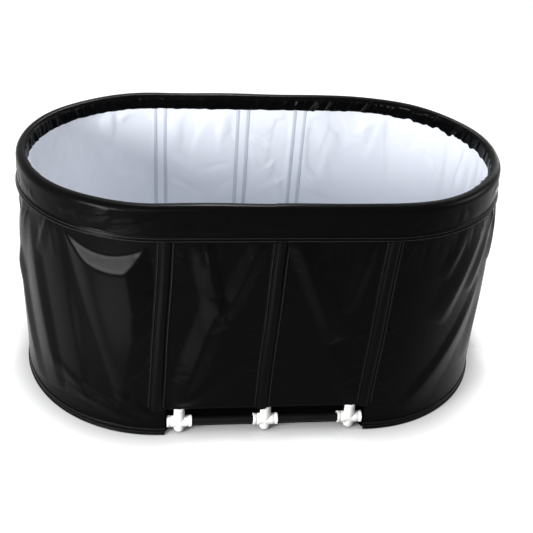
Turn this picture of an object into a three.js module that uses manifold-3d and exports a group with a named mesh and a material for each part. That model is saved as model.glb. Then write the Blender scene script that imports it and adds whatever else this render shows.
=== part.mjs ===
// Cold plunge tub: a soft oval tub that two push-fit pipe frames hold up.
// Millimetres, +X along the tub, +Y to the rear, +Z up, origin on the ground under the middle.
import * as THREE from 'three';
import { mergeVertices } from 'three/addons/utils/BufferGeometryUtils.js';
import Module from 'manifold-3d';

const wasm = await Module();
wasm.setup();

// Form of the wall, measured on the outer face of the cover
const straightHalf = 250;
const rimRadius = 333;
const tubHeight = 600;
const sideFlare = 38.7;
const endFlare = 20;

// Layers of the wall, from the outside in, and the gap that neighbours keep
const clearance = 0.3;
const coverThick = 1.2;
const foamThick = 26;
const bandThick = 1.2;
const linerThick = 1.2;
const stripThick = 0.8;

// Collar over the rim, with a folded hem along its outer edge
const collarThick = 1.5;
const collarDrop = 80;
const collarInnerDrop = 40;
const collarHemHeight = 13;
const collarHemThick = 1.5;

// Cover, ribs, weld strips and base hem
const recessHeight = 75;
const recessGap = 5;
const bandHeight = 110;
const ribWidth = 40;
const ribEdge = 0.8;
const ribBulge = 5;
const panelCrown = 3;
const stripWidth = 38;
const stripPlaces = { left: -straightHalf, middle: -22, right: 137 };
const baseHemHeight = 20;
const baseHemThick = 2.4;
const baseHemBead = 2.5;
const baseHemLift = 0.5;

// Floor layers
const baseThick = 1.5;
const floorPadThick = 10;

// Pipe frames
const pipeDiameter = 20;
const pipeWall = 2;
const poleInset = 42;
const runHeight = 30;
const teeHalfLength = 30;
const teeBodyRadius = 12.8;
const teeCollarRadius = 14.5;
const teeCollarLength = 10;
const teeStopHalf = 8;
const riserLength = 43;
const riserLipRadius = 13.8;
const riserLipLength = 8;
const riserBoreFloor = 14;
const footRadius = 14;
const footArc = 60;

// Drain through the right end
const drainHeight = 45;
const drainBore = 16;
const drainTube = 24;
const drainFlange = 44;
const drainFlangeThick = 4;
const drainStub = 28;
const drainStubLength = 12;
const gasketThick = 2;
const locknutDiameter = 40;
const locknutThick = 7;
const locknutNotches = 6;
const locknutNotchWidth = 6;
const locknutNotchDepth = 3;
const washerThick = 1.5;
const capWall = 3;
const capThreadGap = 0.5;
const capRibs = 12;
const capRibRadius = 1.6;

// Fineness of the round work
const endSteps = 24;
const sideSteps = 6;
const wallLevels = 3;
const ribSteps = 8;
const rimSteps = 6;
const hemSteps = 4;
const pipeSides = 12;
const rollSides = 2 * rimSteps;
const drainSides = 18;
const capRibSides = 6;
const footSteps = 2;

// Depths of the layers behind the cover's outer face
const foamOuter = coverThick + clearance;
const foamInner = foamOuter + foamThick;
const bandOuter = foamInner + clearance;
const bandInner = bandOuter + bandThick;
const linerOuter = bandInner + clearance;
const linerInner = linerOuter + linerThick;
const skirtOuter = linerInner + clearance;

// Rim: the collar is a U turned over a foam roll, and the wall's layers end under the roll
const collarOuterFace = -clearance - collarThick;
const collarInnerFace = skirtOuter + collarThick;
const collarMiddle = (collarOuterFace + collarInnerFace) / 2;
const collarTopRadius = (collarInnerFace - collarOuterFace) / 2;
const collarLow = tubHeight - collarDrop;
const rollRadius = collarTopRadius - collarThick - clearance;
const rollHeight = tubHeight - collarTopRadius;
const wallTop = rollHeight - rollRadius - clearance;

// Colours and finishes
const finish = (color, roughness) => new THREE.MeshStandardMaterial({ color, roughness, metalness: 0 });
const blackFabric = finish(0x101012, 0.45);
const blackTrim = finish(0x141416, 0.5);
const whiteLiner = finish(0xe4e8f2, 0.5);
const greyWeld = finish(0xb9bfca, 0.5);
const paleFoam = finish(0xd8d8d4, 0.9);
const whitePlastic = finish(0xf0efec, 0.35);
const blackPipe = finish(0x18181a, 0.3);
const blackPlastic = finish(0x1b1b1d, 0.45);
const blackRubber = finish(0x151515, 0.8);

const tub = new THREE.Group();

function add(name, geometry, material, parent = tub) {
  const mesh = new THREE.Mesh(geometry, material);
  mesh.name = name;
  parent.add(mesh);
  return mesh;
}

// A station is a place on the plan: a centre on the X axis and the way that the wall faces there.
// Facing is -1 on the front and 1 on the rear, and x past the straight carries on round the bend.
function along(facing, x) {
  const past = Math.max(Math.abs(x) - straightHalf, 0);
  const bend = (-facing * Math.sign(x) * past) / rimRadius;
  return { cx: THREE.MathUtils.clamp(x, -straightHalf, straightHalf), turn: (facing * Math.PI) / 2 + bend };
}

const stretch = (facing, from, to, steps = 1) =>
  Array.from({ length: steps + 1 }, (_, i) => along(facing, from + ((to - from) * i) / steps));

// The way round one end, with stops on the straight before and after the bend
function roundEnd(end, ...stops) {
  const start = (-end * Math.PI) / 2;
  const bend = Array.from({ length: endSteps + 1 }, (_, i) => (
    { cx: end * straightHalf, turn: start + (Math.PI * i) / endSteps }));
  const before = stops.map((x) => ({ cx: end * x, turn: start }));
  const after = stops.toReversed().map((x) => ({ cx: end * x, turn: start + Math.PI }));
  return [...before, ...bend, ...after];
}

const wholeWay = [...roundEnd(1), ...roundEnd(-1)];

// A point on the wall, at a depth behind the cover's outer face and a height.
// The bends are facets, and a station between two corners lies on the facet.
const facet = Math.PI / endSteps;

function cornerAt(cx, turn, inset, z) {
  const flare = endFlare + (sideFlare - endFlare) * Math.sin(turn) ** 2;
  const radius = rimRadius + flare * (1 - z / tubHeight) - inset;
  return new THREE.Vector3(cx + radius * Math.cos(turn), radius * Math.sin(turn), z);
}

function pointAt({ cx, turn }, inset, z) {
  const corner = Math.floor(turn / facet);
  const before = cornerAt(cx, corner * facet, inset, z);
  return before.lerp(cornerAt(cx, (corner + 1) * facet, inset, z), turn / facet - corner);
}

// Closes a surface from points and triangles, with its faces turned outward
function closed(points, faces) {
  const volume = faces.reduce((sum, [a, b, c]) => {
    const cross = new THREE.Vector3().crossVectors(points[b], points[c]);
    return sum + points[a].dot(cross);
  }, 0);
  const turned = volume < 0 ? faces.map(([a, b, c]) => [a, c, b]) : faces;
  return new THREE.BufferGeometry().setFromPoints(points).setIndex(turned.flat());
}

// Lofts a section of [inset, height] pairs along stations, round a closed ring or with end faces.
// The section runs counter-clockwise and may change with the station.
function loft(path, section, ring = false) {
  const sections = path.map((station, i) => section(station, i));
  const count = sections[0].length;
  const points = path.flatMap((station, i) => sections[i].map(([inset, z]) => pointAt(station, inset, z)));
  const faces = [];
  const spans = ring ? path.length : path.length - 1;
  for (let i = 0; i < spans; i++) {
    const here = i * count;
    const next = ((i + 1) % path.length) * count;
    for (let j = 0; j < count; j++) {
      const k = (j + 1) % count;
      faces.push([here + j, here + k, next + k], [here + j, next + k, next + j]);
    }
  }
  if (!ring) {
    const last = spans * count;
    const flat = (profile) => profile.map(([inset, z]) => new THREE.Vector2(inset, z));
    const first = THREE.ShapeUtils.triangulateShape(flat(sections[0]), []);
    const final = THREE.ShapeUtils.triangulateShape(flat(sections.at(-1)), []);
    first.forEach(([a, b, c]) => faces.push([a, c, b]));
    final.forEach(([a, b, c]) => faces.push([last + a, last + b, last + c]));
  }
  return closed(points, faces);
}

// A layer of the wall between two depths and two heights
const slab = (outer, inner, low, high) => () => [[outer, low], [inner, low], [inner, high], [outer, high]];

// A layer of the full wall from a low edge to the top, cut at shared heights so that layers nest
const spread = (from, to, steps) => Array.from({ length: steps + 1 }, (_, i) => from + ((to - from) * i) / steps);

function layer(outerAt, thick, low) {
  const levels = [low, ...spread(bandHeight, collarLow, wallLevels), wallTop];
  const inside = levels.map((z) => [outerAt(z) + thick, z]);
  const outside = levels.toReversed().map((z) => [outerAt(z), z]);
  return [...inside, ...outside];
}

// An arc of a section, in degrees counter-clockwise from the inward side
const bow = (inset, z, radius, from, to, steps) =>
  Array.from({ length: steps + 1 }, (_, i) => {
    const angle = THREE.MathUtils.degToRad(from + ((to - from) * i) / steps);
    return [inset + radius * Math.cos(angle), z + radius * Math.sin(angle)];
  });

// Solids of revolution from [radius, distance] pairs
const revolve = (profile, sides) =>
  new THREE.LatheGeometry(profile.map(([radius, distance]) => new THREE.Vector2(radius, distance)), sides);
const aboutX = (profile, sides) => revolve(profile, sides).rotateZ(-Math.PI / 2);
const aboutZ = (profile, sides) => revolve(profile, sides).rotateX(Math.PI / 2);
const rod = (radius, from, to) => [[0, from], [radius, from], [radius, to], [0, to]];
const tube = (inner, outer, from, to) =>
  [[inner, from], [outer, from], [outer, to], [inner, to], [inner, from]];

// Joins and cuts
function solid(geometry) {
  const bare = geometry.clone();
  bare.deleteAttribute('normal');
  bare.deleteAttribute('uv');
  const merged = mergeVertices(bare);
  return new wasm.Manifold(new wasm.Mesh({
    numProp: 3,
    vertProperties: new Float32Array(merged.attributes.position.array),
    triVerts: new Uint32Array(merged.index.array),
  }));
}

function surface(body) {
  const mesh = body.getMesh();
  const geometry = new THREE.BufferGeometry();
  geometry.setAttribute('position', new THREE.BufferAttribute(mesh.vertProperties, 3));
  return geometry.setIndex(new THREE.BufferAttribute(mesh.triVerts, 1));
}

const join = (...geometries) => surface(geometries.map(solid).reduce((sum, body) => sum.add(body)));
const cut = (geometry, ...tools) =>
  surface(tools.map(solid).reduce((rest, body) => rest.subtract(body), solid(geometry)));

// Pipe frames: tees on the ground, rails between them, and poles that lean with the wall
const lean = Math.atan(sideFlare / tubHeight);
const pipeRadius = pipeDiameter / 2;
const poleSpacing = straightHalf - poleInset;
const socketRadius = pipeRadius + clearance;
const footDrop = (runHeight - footRadius) / Math.cos(lean);
const poleFoot = riserBoreFloor + clearance;
const poleTop = (wallTop - clearance - pipeRadius * Math.sin(lean) - runHeight) / Math.cos(lean);
const frameDepth = rimRadius + sideFlare * (1 - runHeight / tubHeight) - foamOuter - pipeRadius;

function tee() {
  const collarStart = teeHalfLength - teeCollarLength;
  const across = aboutX([
    [0, -teeHalfLength],
    [teeCollarRadius, -teeHalfLength],
    [teeCollarRadius, -collarStart],
    [teeBodyRadius, -collarStart],
    [teeBodyRadius, collarStart],
    [teeCollarRadius, collarStart],
    [teeCollarRadius, teeHalfLength],
    [0, teeHalfLength],
  ], pipeSides);
  const upright = aboutZ([
    [0, -footDrop - footRadius],
    ...bow(0, -footDrop, footRadius, -footArc, 0, footSteps),
    [teeBodyRadius, 0],
    [teeBodyRadius, riserLength - riserLipLength],
    [riserLipRadius, riserLength],
    [0, riserLength],
  ], pipeSides);
  return cut(
    join(across, upright),
    aboutX(rod(socketRadius, teeStopHalf, 2 * teeHalfLength), pipeSides),
    aboutX(rod(socketRadius, -2 * teeHalfLength, -teeStopHalf), pipeSides),
    aboutZ(rod(socketRadius, riserBoreFloor, 2 * riserLength), pipeSides),
  );
}

for (const [side, facing] of [['front', -1], ['rear', 1]]) {
  const frame = new THREE.Group();
  frame.position.set(0, facing * frameDepth, runHeight);
  frame.rotation.x = facing * lean;
  tub.add(frame);
  for (const [place, x] of [['left', -poleSpacing], ['middle', 0], ['right', poleSpacing]]) {
    const pole = aboutZ(tube(pipeRadius - pipeWall, pipeRadius, poleFoot, poleTop), pipeSides);
    add(`${side}_tee_${place}`, tee(), whitePlastic, frame).position.x = x;
    add(`${side}_pole_${place}`, pole, blackPipe, frame).position.x = x;
  }
  for (const [place, x] of [['left', -poleSpacing], ['right', 0]]) {
    const start = teeStopHalf + clearance;
    const rail = aboutX(tube(pipeRadius - pipeWall, pipeRadius, start, poleSpacing - start), pipeSides);
    add(`${side}_rail_${place}`, rail, blackPipe, frame).position.x = x;
  }
}

// Drain: it stands square to the right end of the wall, and every layer there has a hole for it
const tip = { cx: straightHalf, turn: 0 };
const drainTilt = Math.atan(endFlare / tubHeight);
const drainFace = pointAt(tip, 0, drainHeight);
const facetFall = Math.tan(Math.PI / endSteps / 2);
const tubeRadius = drainTube / 2;
const flangeRadius = drainFlange / 2;
const stubRadius = drainStub / 2;
const locknutRadius = locknutDiameter / 2;
const flangeIn = clearance + gasketThick + clearance;
const flangeOut = flangeIn + drainFlangeThick;
const stubOut = flangeOut + drainStubLength;
const innerGasketFace = -linerInner - clearance - locknutRadius * facetFall;
const locknutFace = innerGasketFace - gasketThick - clearance;
const tubeIn = locknutFace - locknutThick;
const drainHole = aboutX(rod(tubeRadius + clearance, tubeIn, stubOut), drainSides)
  .rotateY(-drainTilt)
  .translate(drainFace.x, drainFace.y, drainFace.z);

function locknut() {
  const ring = aboutX(tube(tubeRadius + clearance, locknutRadius, tubeIn, locknutFace), drainSides);
  const notch = (i) => new THREE.BoxGeometry(2 * locknutThick, locknutNotchWidth, 2 * locknutNotchDepth)
    .translate(locknutFace, 0, locknutRadius)
    .rotateX((2 * Math.PI * i) / locknutNotches);
  return cut(ring, ...Array.from({ length: locknutNotches }, (_, i) => notch(i)));
}

const washerIn = stubOut + clearance;
const washerOut = washerIn + washerThick;
const capBore = stubRadius + capThreadGap;
const capRadius = capBore + capWall;
const capIn = flangeOut + clearance;
const capFloor = washerOut + clearance;
const capOut = capFloor + capWall;

function drainCap() {
  const cup = aboutX([
    [0, capFloor],
    [capBore, capFloor],
    [capBore, capIn],
    [capRadius, capIn],
    [capRadius, capOut],
    [0, capOut],
  ], drainSides);
  const rib = (i) => aboutX(rod(capRibRadius, capIn + capWall, capOut - capRibRadius), capRibSides)
    .translate(0, 0, capRadius)
    .rotateX((2 * Math.PI * i) / capRibs);
  return join(cup, ...Array.from({ length: capRibs }, (_, i) => rib(i)));
}

const drain = new THREE.Group();
drain.position.copy(drainFace);
drain.rotation.y = -drainTilt;
tub.add(drain);

const drainBody = aboutX([
  [drainBore / 2, tubeIn],
  [tubeRadius, tubeIn],
  [tubeRadius, flangeIn],
  [flangeRadius, flangeIn],
  [flangeRadius, flangeOut],
  [stubRadius, flangeOut],
  [stubRadius, stubOut],
  [drainBore / 2, stubOut],
  [drainBore / 2, tubeIn],
], drainSides);
const gasket = (radius, face) =>
  aboutX(tube(tubeRadius + clearance, radius, face, face + gasketThick), drainSides);
const capWasher = tube(drainBore / 2, stubRadius, washerIn, washerOut);
add('drain_body', drainBody, blackPlastic, drain);
add('drain_outer_gasket', gasket(flangeRadius, clearance), blackRubber, drain);
add('drain_inner_gasket', gasket(locknutRadius, innerGasketFace - gasketThick), blackRubber, drain);
add('drain_locknut', locknut(), whitePlastic, drain);
add('drain_cap_washer', aboutX(capWasher, drainSides), blackRubber, drain);
add('drain_cap', drainCap(), blackPlastic, drain);

// Base: a ground sheet that reaches under the end walls, a floor pad, and a turned-up band.
// Along the recess the sheet stops short of the tees.
const recessEnd = poleSpacing + teeHalfLength + recessGap;
const recessCorner = recessEnd - clearance;
const inRecess = ({ cx }) => Math.abs(cx) < recessEnd;

function plate(path, insetAt, low, high) {
  const outline = path.map((station) => pointAt(station, insetAt(station), high));
  const shape = new THREE.Shape(outline.map(({ x, y }) => new THREE.Vector2(x, y)));
  return new THREE.ExtrudeGeometry(shape, { depth: high - low, bevelEnabled: false }).translate(0, 0, low);
}

const padLow = baseThick + clearance;
const padHigh = padLow + floorPadThick;
const linerFloorLow = padHigh + clearance;
const linerFloorHigh = linerFloorLow + linerThick;
const linerLow = linerFloorHigh + clearance;
const recessWay = [...roundEnd(1, recessCorner, recessEnd), ...roundEnd(-1, recessCorner, recessEnd)];
const sheetEdge = (station) => (inRecess(station) ? bandOuter : foamOuter);
const band = slab(bandOuter, bandInner, padLow, bandHeight);
const bandReach = straightHalf - clearance;
add('base_sheet', plate(recessWay, sheetEdge, 0, baseThick), blackFabric);
add('floor_pad', plate(wholeWay, () => linerOuter, padLow, padHigh), paleFoam);
add('base_band_front', loft(stretch(-1, -bandReach, bandReach), band), blackFabric);
add('base_band_rear', loft(stretch(1, -bandReach, bandReach), band), blackFabric);
add('base_band_left', loft(roundEnd(-1), band), blackFabric);
add('base_band_right', cut(loft(roundEnd(1), band), drainHole), blackFabric);

// Liner: a floor and a wall, with weld strips up its inner face
const linerWall = loft(wholeWay, () => layer(() => linerOuter, linerThick, linerLow), true);
add('liner_floor', plate(wholeWay, () => linerOuter, linerFloorLow, linerFloorHigh), whiteLiner);
add('liner_wall', cut(linerWall, drainHole), whiteLiner);

const stripTop = tubHeight - collarInnerDrop - clearance;
const strip = slab(skirtOuter, skirtOuter + stripThick, linerLow, stripTop);
for (const [side, facing] of [['front', -1], ['rear', 1]]) {
  for (const [place, x] of Object.entries(stripPlaces)) {
    const middle = facing * x;
    const path = stretch(facing, middle - stripWidth / 2, middle + stripWidth / 2, 2);
    add(`${side}_weld_strip_${place}`, loft(path, strip), greyWeld);
  }
}

// Foam pads: one round each end, and four between the poles above the recess
const poleSlot = pipeRadius + clearance;
const endPadStart = poleSpacing + poleSlot;

function endPad(end) {
  const path = roundEnd(end, endPadStart, recessCorner, recessEnd);
  const foot = (station) => (inRecess(station) ? recessHeight : padLow);
  return loft(path, (station) => layer(() => foamOuter, foamThick, foot(station)));
}

add('end_pad_left', endPad(-1), paleFoam);
add('end_pad_right', cut(endPad(1), drainHole), paleFoam);

for (const [side, facing] of [['front', -1], ['rear', 1]]) {
  for (const [place, way] of [['left', -1], ['right', 1]]) {
    const path = stretch(facing, way * poleSlot, way * (poleSpacing - poleSlot));
    add(`${side}_pad_${place}`, loft(path, slab(foamOuter, foamInner, recessHeight, wallTop)), paleFoam);
  }
}

// Cover: end panels down to the base hem, and side panels that stop above the recess.
// Each panel swells a little between its ribs, from the base band up to the collar.
const ribHalf = ribWidth / 2 + clearance;
const swell = (share) => Math.sin(Math.PI * THREE.MathUtils.clamp(share, 0, 1)) ** 2;

function panel(facing, from, way, distances, low) {
  const length = distances.at(-1);
  return loft(distances.map((distance) => along(facing, from + way * distance)), (_, i) => {
    const across = swell((distances[i] - ribHalf) / (length - 2 * ribHalf));
    const outer = (z) => -panelCrown * across * swell((z - bandHeight) / (collarLow - bandHeight));
    return layer(outer, coverThick, low);
  });
}

const hemTop = baseHemLift + baseHemHeight;
const endDistances = spread(0, Math.PI * rimRadius, endSteps);
const endPanel = (end) => panel(-1, end * straightHalf, end, endDistances, hemTop + clearance);
const sideStart = clearance / 2;
const sideLength = straightHalf - clearance - sideStart;
const sideDistances = [0, ...spread(ribHalf, sideLength - ribHalf, sideSteps), sideLength];
add('cover_end_left', endPanel(-1), blackFabric);
add('cover_end_right', cut(endPanel(1), drainHole), blackFabric);
for (const [side, facing] of [['front', -1], ['rear', 1]]) {
  for (const [place, way] of [['left', -1], ['right', 1]]) {
    const sheet = panel(facing, way * sideStart, way, sideDistances, recessHeight);
    add(`cover_${side}_${place}`, sheet, blackFabric);
  }
  for (const [place, x] of [['left', -straightHalf], ['middle', 0], ['right', straightHalf]]) {
    const path = stretch(facing, x - ribWidth / 2, x + ribWidth / 2, ribSteps);
    const rib = loft(path, (_, i) => {
      const outer = -clearance - ribEdge - ribBulge * swell(i / ribSteps);
      return slab(outer, -clearance, recessHeight, collarLow - clearance)();
    });
    add(`${side}_rib_${place}`, rib, blackTrim);
  }
}

// Base hems: a folded band with a bead at its foot, round each end from tee to tee
const hemFace = coverThick - baseHemThick;
const hemSection = [
  [coverThick, baseHemLift],
  [coverThick, hemTop],
  [hemFace, hemTop],
  ...bow(hemFace, baseHemLift + baseHemBead, baseHemBead, 90, 270, hemSteps),
];
for (const [place, end] of [['left', -1], ['right', 1]]) {
  add(`base_hem_${place}`, loft(roundEnd(end, recessEnd), () => hemSection), blackTrim);
}

// Rim: a foam roll in two lengths, and the collar that wraps it
for (const [place, end] of [['left', -1], ['right', 1]]) {
  const ringSection = bow(collarMiddle, rollHeight, rollRadius, 0, 360, rollSides).slice(1);
  add(`rim_roll_${place}`, loft(roundEnd(end, clearance / 2), () => ringSection), paleFoam);
}

const collarHemTop = collarLow + collarHemHeight;
const collarHemFace = collarOuterFace - collarHemThick;
const skirtLow = tubHeight - collarInnerDrop;
const collarSection = [
  [collarInnerFace, skirtLow],
  ...bow(collarMiddle, rollHeight, collarTopRadius, 0, 180, rimSteps),
  [collarOuterFace, collarHemTop],
  [collarHemFace, collarHemTop - collarHemThick],
  [collarHemFace, collarLow],
  [-clearance, collarLow],
  ...bow(collarMiddle, rollHeight, collarTopRadius - collarThick, 180, 0, rimSteps),
  [skirtOuter, skirtLow],
];
add('rim_collar', loft(wholeWay, () => collarSection, true), blackFabric);

export default tub;
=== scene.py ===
import math

import bpy
import numpy as np
from mathutils import Matrix, Vector


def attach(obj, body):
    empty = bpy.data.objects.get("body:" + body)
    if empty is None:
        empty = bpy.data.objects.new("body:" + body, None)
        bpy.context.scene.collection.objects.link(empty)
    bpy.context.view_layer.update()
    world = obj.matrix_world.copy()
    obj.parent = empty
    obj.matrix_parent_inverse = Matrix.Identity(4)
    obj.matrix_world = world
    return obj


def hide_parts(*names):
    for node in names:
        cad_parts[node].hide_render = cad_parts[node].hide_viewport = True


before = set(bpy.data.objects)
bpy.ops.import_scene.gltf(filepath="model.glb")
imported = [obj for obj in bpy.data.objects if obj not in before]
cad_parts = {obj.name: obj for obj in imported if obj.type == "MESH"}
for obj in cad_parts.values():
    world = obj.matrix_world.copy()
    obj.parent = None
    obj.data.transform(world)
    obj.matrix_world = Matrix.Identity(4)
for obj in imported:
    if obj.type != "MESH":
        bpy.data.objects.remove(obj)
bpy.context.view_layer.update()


# Pipe frames: two runs of black plastic pipe that stand along the straight sides.
# White push-fit tees lie on the ground, rails join them, and poles lean up into the wall's pockets.
# The tees are moulded and the pipe is cut from stock, and nothing but the fit holds them together.
class Value:
    """A shader socket: maths on it adds Math nodes."""

    def __init__(self, finish, socket):
        self.finish, self.socket = finish, socket

    def math(self, operation, first, second):
        return self.finish.node("ShaderNodeMath", {"operation": operation}, {0: first, 1: second})

    def __add__(self, other):
        return self.math("ADD", self, other)

    def __mul__(self, other):
        return self.math("MULTIPLY", self, other)

    __radd__ = __add__
    __rmul__ = __mul__


class Finish:
    """A material or a room under construction, with one shader and the nodes that feed it."""

    def __init__(self, name, room=None, **shader):
        self.material = room or bpy.data.materials.new(name)
        self.material.use_nodes = True
        self.tree = self.material.node_tree
        self.shader = self.tree.nodes["Background" if room else "Principled BSDF"]
        self.output = self.tree.nodes["World Output" if room else "Material Output"]
        self.set(**shader)

    def set(self, **shader):
        for name, value in shader.items():
            self.feed(self.shader.inputs[name.replace("_", " ")], value)

    def feed(self, socket, value):
        if isinstance(value, Value):
            self.tree.links.new(value.socket, socket)
        elif socket.type == "RGBA" and len(value) == 3:
            socket.default_value = (*value, 1)
        else:
            socket.default_value = value

    def node(self, kind, settings, inputs, output=0):
        made = self.tree.nodes.new(kind)
        for name, value in settings.items():
            setattr(made, name, value)
        for name, value in inputs.items():
            self.feed(made.inputs[name], value)
        return Value(self, made.outputs[output])

    def noise(self, scale, detail):
        place = self.node("ShaderNodeTexCoord", {}, {}, "Object")
        return self.node("ShaderNodeTexNoise", {}, {"Vector": place, "Scale": scale, "Detail": detail})

    def blend(self, share, low, high):
        return self.node("ShaderNodeMix", {"data_type": "RGBA"}, {0: share, 6: low, 7: high}, 2)

    def bump(self, height, distance, strength, **under):
        inputs = {"Height": height, "Distance": distance, "Strength": strength, **under}
        return self.node("ShaderNodeBump", {}, inputs)


def moulded_plastic(name, dark, light, roughness, gloss=0.5):
    finish = Finish(name, Specular_IOR_Level=gloss)
    cloud = finish.noise(40, 3)
    pits = finish.noise(900, 2)
    finish.set(
        Base_Color=finish.blend(cloud, dark, light),
        Roughness=roughness + 0.12 * cloud,
        Normal=finish.bump(pits, 0.0002, 0.25),
    )
    return finish.material


white_plastic = moulded_plastic("white_plastic", (0.80, 0.79, 0.77), (0.88, 0.87, 0.85), 0.3)
black_pipe = moulded_plastic("black_pipe", (0.003, 0.003, 0.0035), (0.006, 0.006, 0.0065), 0.28, 0.06)


def add_piece(name, points, faces, material, smooth=True):
    mesh = bpy.data.meshes.new(name)
    mesh.from_pydata(points, [], faces)
    mesh.materials.append(material)
    if smooth:
        mesh.shade_smooth()
    piece = bpy.data.objects.new(name, mesh)
    bpy.context.scene.collection.objects.link(piece)
    return piece


def turned(profile, place, sides=40):
    """Points and faces of a round piece, from (distance along, radius) pairs."""
    turn = np.linspace(0, 2 * math.pi, sides, endpoint=False)
    points = [place @ Vector((r * math.cos(t), r * math.sin(t), d)) for d, r in profile for t in turn]
    faces = []
    for i in range(len(profile) - 1):
        for j in range(sides):
            k = (j + 1) % sides
            faces.append((i * sides + j, i * sides + k, (i + 1) * sides + k, (i + 1) * sides + j))
    return points, faces


def gather(*shapes):
    points, faces = [], []
    for more_points, more_faces in shapes:
        faces += [tuple(len(points) + i for i in face) for face in more_faces]
        points += more_points
    return points, faces


SIDES = (("front", -1), ("rear", 1))
STRAIGHT_HALF, RIM_RADIUS, HEIGHT = 0.250, 0.333, 0.600
SIDE_FLARE, END_FLARE = 0.0387, 0.020
POLE_SPACING, RUN_HEIGHT, FRAME_DEPTH = 0.208, 0.030, 0.358265
PIPE_RADIUS, PIPE_WALL, POLE_FOOT, POLE_REACH, RAIL_GAP = 0.010, 0.002, 0.0143, 0.5671, 0.0083
LEAN = math.atan(SIDE_FLARE / HEIGHT)
SOCKET, STOP, FOOT = 0.0103, 0.008, 0.014
RUN_HALF = [(STOP, 0), (STOP, SOCKET), (0.0294, SOCKET), (0.030, 0.0109), (0.030, 0.0138), (0.0293, 0.0145),
            (0.0232, 0.0145), (0.0226, 0.0140), (0.0224, 0.0128), (0.0206, 0.0128), (0.0203, 0.0140), (0.0197, 0.0143),
            (0.0120, 0.0141), (0.0, 0.0140)]
RUN_PROFILE = [*RUN_HALF, *[(-d, r) for d, r in reversed(RUN_HALF[:-1])]]
RISER_PROFILE = [*[(FOOT * (-math.cos(t) - 1) - 0.0021, FOOT * math.sin(t)) for t in np.linspace(0, 1.45, 8)],
                 (-0.010, 0.0139), (0.0, 0.0138), (0.018, 0.0134), (0.034, 0.0130), (0.0365, 0.0133), (0.0420, 0.0138),
                 (0.0428, 0.0133), (0.0430, 0.0125), (0.0430, 0.0108), (0.0425, SOCKET), (0.014, SOCKET), (0.014, 0)]
POLE_TOP = (POLE_REACH - PIPE_RADIUS * math.sin(LEAN) - RUN_HEIGHT) / math.cos(LEAN)


def pipe_profile(start, end):
    inner = PIPE_RADIUS - PIPE_WALL
    return [(start, inner), (start, PIPE_RADIUS), (end, PIPE_RADIUS), (end, inner), (start, inner)]


for side, facing in SIDES:
    stand = Matrix.Translation((0, facing * FRAME_DEPTH, RUN_HEIGHT)) @ Matrix.Rotation(facing * LEAN, 4, "X")
    lying = Matrix.Rotation(math.pi / 2, 4, "Y")
    places = (("left", -POLE_SPACING), ("middle", 0), ("right", POLE_SPACING))
    tees, poles, rails = [], [], []
    for place, x in places:
        here = stand @ Matrix.Translation((x, 0, 0))
        tees += [turned(RUN_PROFILE, here @ lying), turned(RISER_PROFILE, here)]
        poles.append(turned(pipe_profile(POLE_FOOT, POLE_TOP), here))
    for x in (-POLE_SPACING, 0):
        here = stand @ Matrix.Translation((x, 0, 0)) @ lying
        rails.append(turned(pipe_profile(RAIL_GAP, POLE_SPACING - RAIL_GAP), here))
    for name, shapes, material, slot, nodes in (
        ("tees", tees, white_plastic, "white_plastic", [f"{side}_tee_{p}" for p, _ in places]),
        ("poles", poles, black_pipe, "black_pipe", [f"{side}_pole_{p}" for p, _ in places]),
        ("rails", rails, black_pipe, "black_pipe", [f"{side}_rail_left", f"{side}_rail_right"]),
    ):
        piece = add_piece(f"{side}_{name}", *gather(*shapes), material)
        piece.data.set_sharp_from_angle(angle=math.radians(40))
        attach(piece, f"{side}_frame")
        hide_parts(*nodes)


# Base: a ground sheet of black coated fabric under the whole tub, with a band of the same turned up at its edge.
# Along each straight side the band shows as the back of the recess where the tees stand, and a strip lines
# the recess's ends and top, with slits that the poles go up through.
BEND = math.pi * RIM_RADIUS
AROUND = 4 * STRAIGHT_HALF + 2 * BEND
CORNERS = np.cumsum([0, STRAIGHT_HALF, BEND, 2 * STRAIGHT_HALF, BEND, STRAIGHT_HALF])


def turn_of(along):
    """The way that the wall faces at a distance along it."""
    return np.interp(along % AROUND, CORNERS, np.radians([-90, -90, 90, 90, 270, 270]))


def wall(along, z, out=0.0):
    """Points on the tub's wall: metres along it from the front's middle, height, and distance out from the cover."""
    along, z, out = np.broadcast_arrays(along, z, out)
    centres = [0, STRAIGHT_HALF, STRAIGHT_HALF, -STRAIGHT_HALF, -STRAIGHT_HALF, 0]
    centre, turn = np.interp(along % AROUND, CORNERS, centres), turn_of(along)
    flare = END_FLARE + (SIDE_FLARE - END_FLARE) * np.sin(turn) ** 2
    radius = RIM_RADIUS + flare * (1 - z / HEIGHT) + out
    return np.stack([centre + radius * np.cos(turn), radius * np.sin(turn), z], axis=-1)


def along_of(facing, x):
    """Distance along the wall of a place on the front (-1) or the rear (1) straight side."""
    return np.asarray(x) if facing < 0 else 2 * STRAIGHT_HALF + BEND - np.asarray(x)


def grid(points, ring=False, inward=False, skip=()):
    """Points and faces of a sheet: columns along the wall, rows upward, and columns to leave open."""
    columns, rows = points.shape[:2]
    faces = []
    for i in range(columns if ring else columns - 1):
        here, there = i * rows, (i + 1) % columns * rows
        for j in range(rows - 1):
            face = (here + j, there + j, there + j + 1, here + j + 1)
            if i not in skip:
                faces.append(face[::-1] if inward else face)
    return points.reshape(-1, 3).tolist(), faces


def coated_fabric(name, dark, light, roughness):
    finish = Finish(name, Specular_IOR_Level=0.03)
    cloud = finish.noise(9, 4)
    weave = finish.noise(1500, 2)
    slack = finish.noise(55, 3)
    finish.set(
        Base_Color=finish.blend(cloud, dark, light),
        Roughness=roughness + 0.12 * cloud,
        Normal=finish.bump(slack, 0.0010, 0.25, Normal=finish.bump(weave, 0.00015, 0.5)),
    )
    return finish.material


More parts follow.
